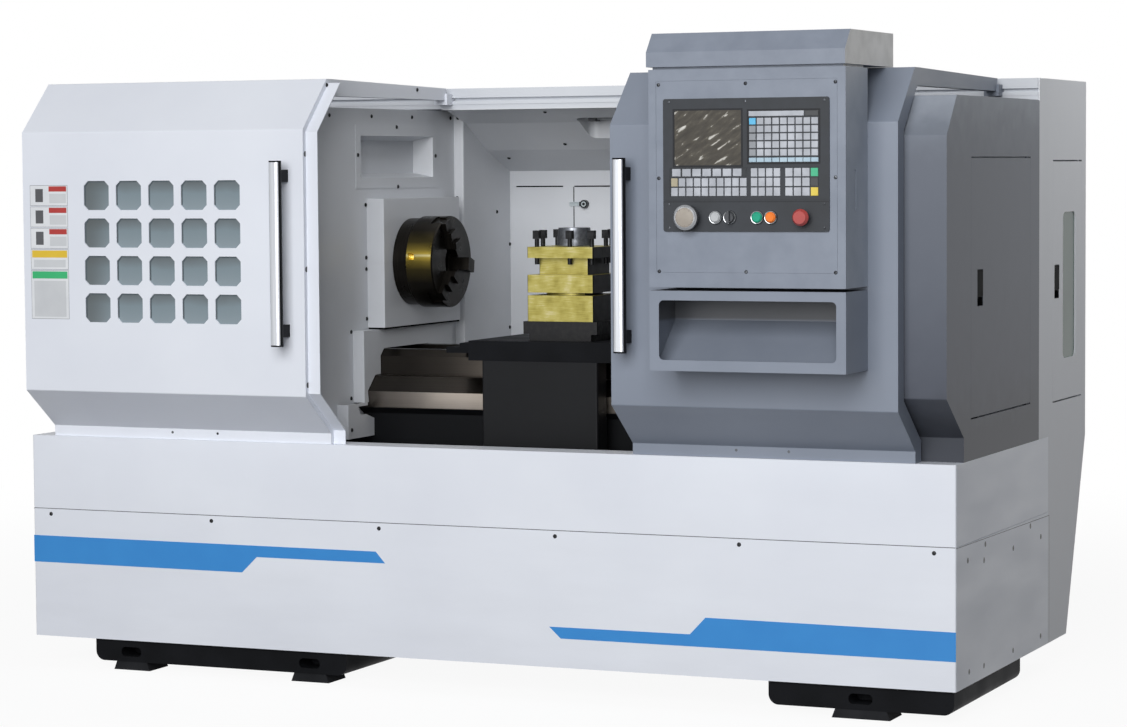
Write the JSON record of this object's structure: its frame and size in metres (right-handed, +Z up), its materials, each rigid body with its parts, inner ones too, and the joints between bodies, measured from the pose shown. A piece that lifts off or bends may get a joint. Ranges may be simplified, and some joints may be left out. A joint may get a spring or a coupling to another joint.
{
  "type": "cnc turning lathe",
  "caption": "Flat-bed turning lathe with sliding front guards, a hanging control station, a square tool turret, a jaw chuck and a tailstock on two cast feet.",
  "frame": {"origin": "on the floor, under the middle of the machine's overall box", "axes": "+X along the bed from the headstock to the tailstock, +Y from the operator's side to the back, +Z up"},
  "size_m": [2.62, 1.558, 1.672],
  "materials": {
    "white_powder_coat": "satin powder coat on sheet steel",
    "grey_powder_coat": "fine texture powder coat on sheet steel",
    "black_casting_paint": "thick satin machine enamel on cast iron",
    "black_sheet_paint": "satin black powder coat on sheet steel",
    "ground_cast_iron": "hardened and ground ways, oiled",
    "machined_steel": "turned and ground steel",
    "blackened_steel": "black oxide finish, oiled",
    "ground_chuck_iron": "ground and oiled steel",
    "yellow_passivated_steel": "yellow passivated and oiled steel",
    "anodised_aluminium": "clear anodised extrusion",
    "frosted_plastic": "frosted polycarbonate sheet",
    "green_glass": "tinted safety glass",
    "screen_glass": "anti-glare display glass",
    "dark_membrane": "textured membrane panel",
    "green_plastic": "moulded push button",
    "orange_plastic": "moulded push button",
    "white_plastic": "moulded push button",
    "red_plastic": "moulded mushroom head",
    "black_plastic": "moulded nylon",
    "lamp_housing": "opal lamp cover",
    "motor_paint": "motor enamel"
  },
  "bodies": {
    "frame": {"left_pedestal": "black_casting_paint", "right_pedestal": "black_casting_paint", "levelling_pads": "black_casting_paint", "bed": "ground_cast_iron", "base_skirt": "white_powder_coat", "splash_tray": "white_powder_coat", "left_fixed_cover": "white_powder_coat", "right_fixed_cover": "grey_powder_coat", "rear_housing": "white_powder_coat", "lamp_panel": "white_powder_coat", "work_lamp": "lamp_housing", "top_rail": "white_powder_coat", "headstock_wall": "white_powder_coat", "viewing_box": "white_powder_coat", "headstock_cover": "white_powder_coat", "way_guard": "white_powder_coat", "headstock_housing": "black_casting_paint", "spindle_bearings": "machined_steel", "main_motor": "motor_paint", "carriage_servo": "motor_paint"},
    "spindle": {"spindle": "machined_steel", "chuck_body": "ground_chuck_iron"},
    "jaw_1": {"chuck_jaw_1": "ground_chuck_iron"},
    "jaw_2": {"chuck_jaw_2": "ground_chuck_iron"},
    "jaw_3": {"chuck_jaw_3": "ground_chuck_iron"},
    "motor_rotor": {"motor_pulley": "machined_steel"},
    "carriage": {"saddle": "ground_cast_iron", "apron_cover": "black_sheet_paint"},
    "lead_screw": {"carriage_screw": "machined_steel"},
    "cross": {"cross_slide": "blackened_steel", "turret_base": "yellow_passivated_steel", "turret_cap": "blackened_steel"},
    "turret": {"turret_head": "yellow_passivated_steel", "tool_bolts": "blackened_steel"},
    "tailstock": {"tailstock_body": "black_casting_paint"},
    "quill": {"tailstock_quill": "machined_steel"},
    "handwheel": {"tailstock_handwheel": "machined_steel"},
    "left_door": {"left_door": "white_powder_coat", "left_door_pane": "frosted_plastic", "left_door_handle": "anodised_aluminium"},
    "right_door": {"right_door": "grey_powder_coat", "right_door_handle": "anodised_aluminium", "control_box": "grey_powder_coat", "control_hood": "grey_powder_coat", "pocket_box": "grey_powder_coat", "keyboard_panel": "dark_membrane", "screen": "screen_glass"},
    "pulse_dial": {"pulse_wheel": "anodised_aluminium"},
    "start_cap": {"start_button": "green_plastic"},
    "hold_cap": {"hold_button": "orange_plastic"},
    "power_cap": {"power_button": "white_plastic"},
    "selector": {"selector_knob": "black_plastic"},
    "stop_head": {"emergency_stop": "red_plastic"},
    "side_door": {"right_side_door": "grey_powder_coat"},
    "side_paddle": {"side_door_latch": "black_plastic"},
    "rear_door": {"rear_side_door": "white_powder_coat", "side_window": "green_glass"},
    "rear_paddle": {"rear_door_latch": "black_plastic"},
    "access_door": {"rear_access_door": "white_powder_coat"},
    "access_knob": {"access_latch": "machined_steel"}
  },
  "joints": [
    {"name": "left_door_slide", "type": "slide", "parent": "frame", "child": "left_door", "axis": [1, 0, 0], "range_m": [0, 0.4275]},
    {"name": "right_door_slide", "type": "slide", "parent": "frame", "child": "right_door", "axis": [-1, 0, 0], "range_m": [0, 0.4275]},
    {"name": "spindle_spin", "type": "hinge", "parent": "frame", "child": "spindle", "pos_m": [-0.81, 0.05, 1.099], "axis": [1, 0, 0], "continuous": true},
    {"name": "jaw_1_slide", "type": "slide", "parent": "spindle", "child": "jaw_1", "axis": [0, 0.9903, -0.1392], "range_m": [-0.01, 0.004]},
    {"name": "jaw_2_slide", "type": "slide", "parent": "spindle", "child": "jaw_2", "axis": [0, -0.3746, 0.9272], "range_m": [-0.01, 0.004]},
    {"name": "jaw_3_slide", "type": "slide", "parent": "spindle", "child": "jaw_3", "axis": [0, -0.6157, -0.788], "range_m": [-0.01, 0.004]},
    {"name": "motor_spin", "type": "hinge", "parent": "frame", "child": "motor_rotor", "pos_m": [-1.16, 0.11, 0.288], "axis": [1, 0, 0], "continuous": true},
    {"name": "carriage_slide", "type": "slide", "parent": "frame", "child": "carriage", "axis": [1, 0, 0], "range_m": [-0.24, 0.24]},
    {"name": "carriage_screw_spin", "type": "hinge", "parent": "frame", "child": "lead_screw", "pos_m": [0.19, 0.002, 0.821], "axis": [1, 0, 0], "continuous": true},
    {"name": "cross_slide_feed", "type": "slide", "parent": "carriage", "child": "cross", "axis": [0, 1, 0], "range_m": [0, 0.15]},
    {"name": "turret_index", "type": "hinge", "parent": "cross", "child": "turret", "pos_m": [0.163, -0.105, 1.083], "axis": [0, 0, 1], "continuous": true},
    {"name": "tailstock_slide", "type": "slide", "parent": "frame", "child": "tailstock", "axis": [1, 0, 0], "range_m": [-0.3, 0]},
    {"name": "quill_slide", "type": "slide", "parent": "tailstock", "child": "quill", "axis": [-1, 0, 0], "range_m": [0, 0.15]},
    {"name": "handwheel_spin", "type": "hinge", "parent": "tailstock", "child": "handwheel", "pos_m": [1.134, 0.05, 1.099], "axis": [1, 0, 0], "continuous": true},
    {"name": "pulse_dial_spin", "type": "hinge", "parent": "right_door", "child": "pulse_dial", "pos_m": [0.742, -0.76, 1.234], "axis": [0, -1, 0], "continuous": true},
    {"name": "power_press", "type": "slide", "parent": "right_door", "child": "power_cap", "axis": [0, 1, 0], "range_m": [0, 0.003], "stiffness_N_per_m": 300},
    {"name": "start_press", "type": "slide", "parent": "right_door", "child": "start_cap", "axis": [0, 1, 0], "range_m": [0, 0.003], "stiffness_N_per_m": 300},
    {"name": "hold_press", "type": "slide", "parent": "right_door", "child": "hold_cap", "axis": [0, 1, 0], "range_m": [0, 0.003], "stiffness_N_per_m": 300},
    {"name": "selector_turn", "type": "hinge", "parent": "right_door", "child": "selector", "pos_m": [0.845, -0.755, 1.234], "axis": [0, -1, 0], "range_deg": [-45, 45]},
    {"name": "stop_press", "type": "slide", "parent": "right_door", "child": "stop_head", "axis": [0, 1, 0], "range_m": [0, 0.006]},
    {"name": "side_door_hinge", "type": "hinge", "parent": "frame", "child": "side_door", "pos_m": [1.3045, 0.188, 1.054], "axis": [0, 0, 1], "range_deg": [0, 110]},
    {"name": "side_latch_hinge", "type": "hinge", "parent": "side_door", "child": "side_paddle", "pos_m": [1.3065, -0.246, 1.0924], "axis": [0, -1, 0], "range_deg": [0, 45], "stiffness_Nm_per_rad": 0.3},
    {"name": "rear_door_hinge", "type": "hinge", "parent": "frame", "child": "rear_door", "pos_m": [1.3045, 0.712, 1.043], "axis": [0, 0, 1], "range_deg": [0, 110]},
    {"name": "rear_latch_hinge", "type": "hinge", "parent": "rear_door", "child": "rear_paddle", "pos_m": [1.3065, 0.476, 1.0814], "axis": [0, -1, 0], "range_deg": [0, 45], "stiffness_Nm_per_rad": 0.3},
    {"name": "access_door_hinge", "type": "hinge", "parent": "frame", "child": "access_door", "pos_m": [0.07, 0.755, 1.09], "axis": [0, 0, 1], "range_deg": [0, 95]},
    {"name": "access_latch_turn", "type": "hinge", "parent": "access_door", "child": "access_knob", "pos_m": [-0.175, 0.74, 1.247], "axis": [0, 1, 0], "range_deg": [0, 90]}
  ],
  "couplings": [
    {"joint": "motor_spin", "follows": "spindle_spin", "ratio": 1.697},
    {"joint": "jaw_2_slide", "follows": "jaw_1_slide", "ratio": 1},
    {"joint": "jaw_3_slide", "follows": "jaw_1_slide", "ratio": 1},
    {"joint": "carriage_screw_spin", "follows": "carriage_slide", "rad_per_m": 785.4},
    {"joint": "handwheel_spin", "follows": "quill_slide", "rad_per_m": 1256.6}
  ]
}
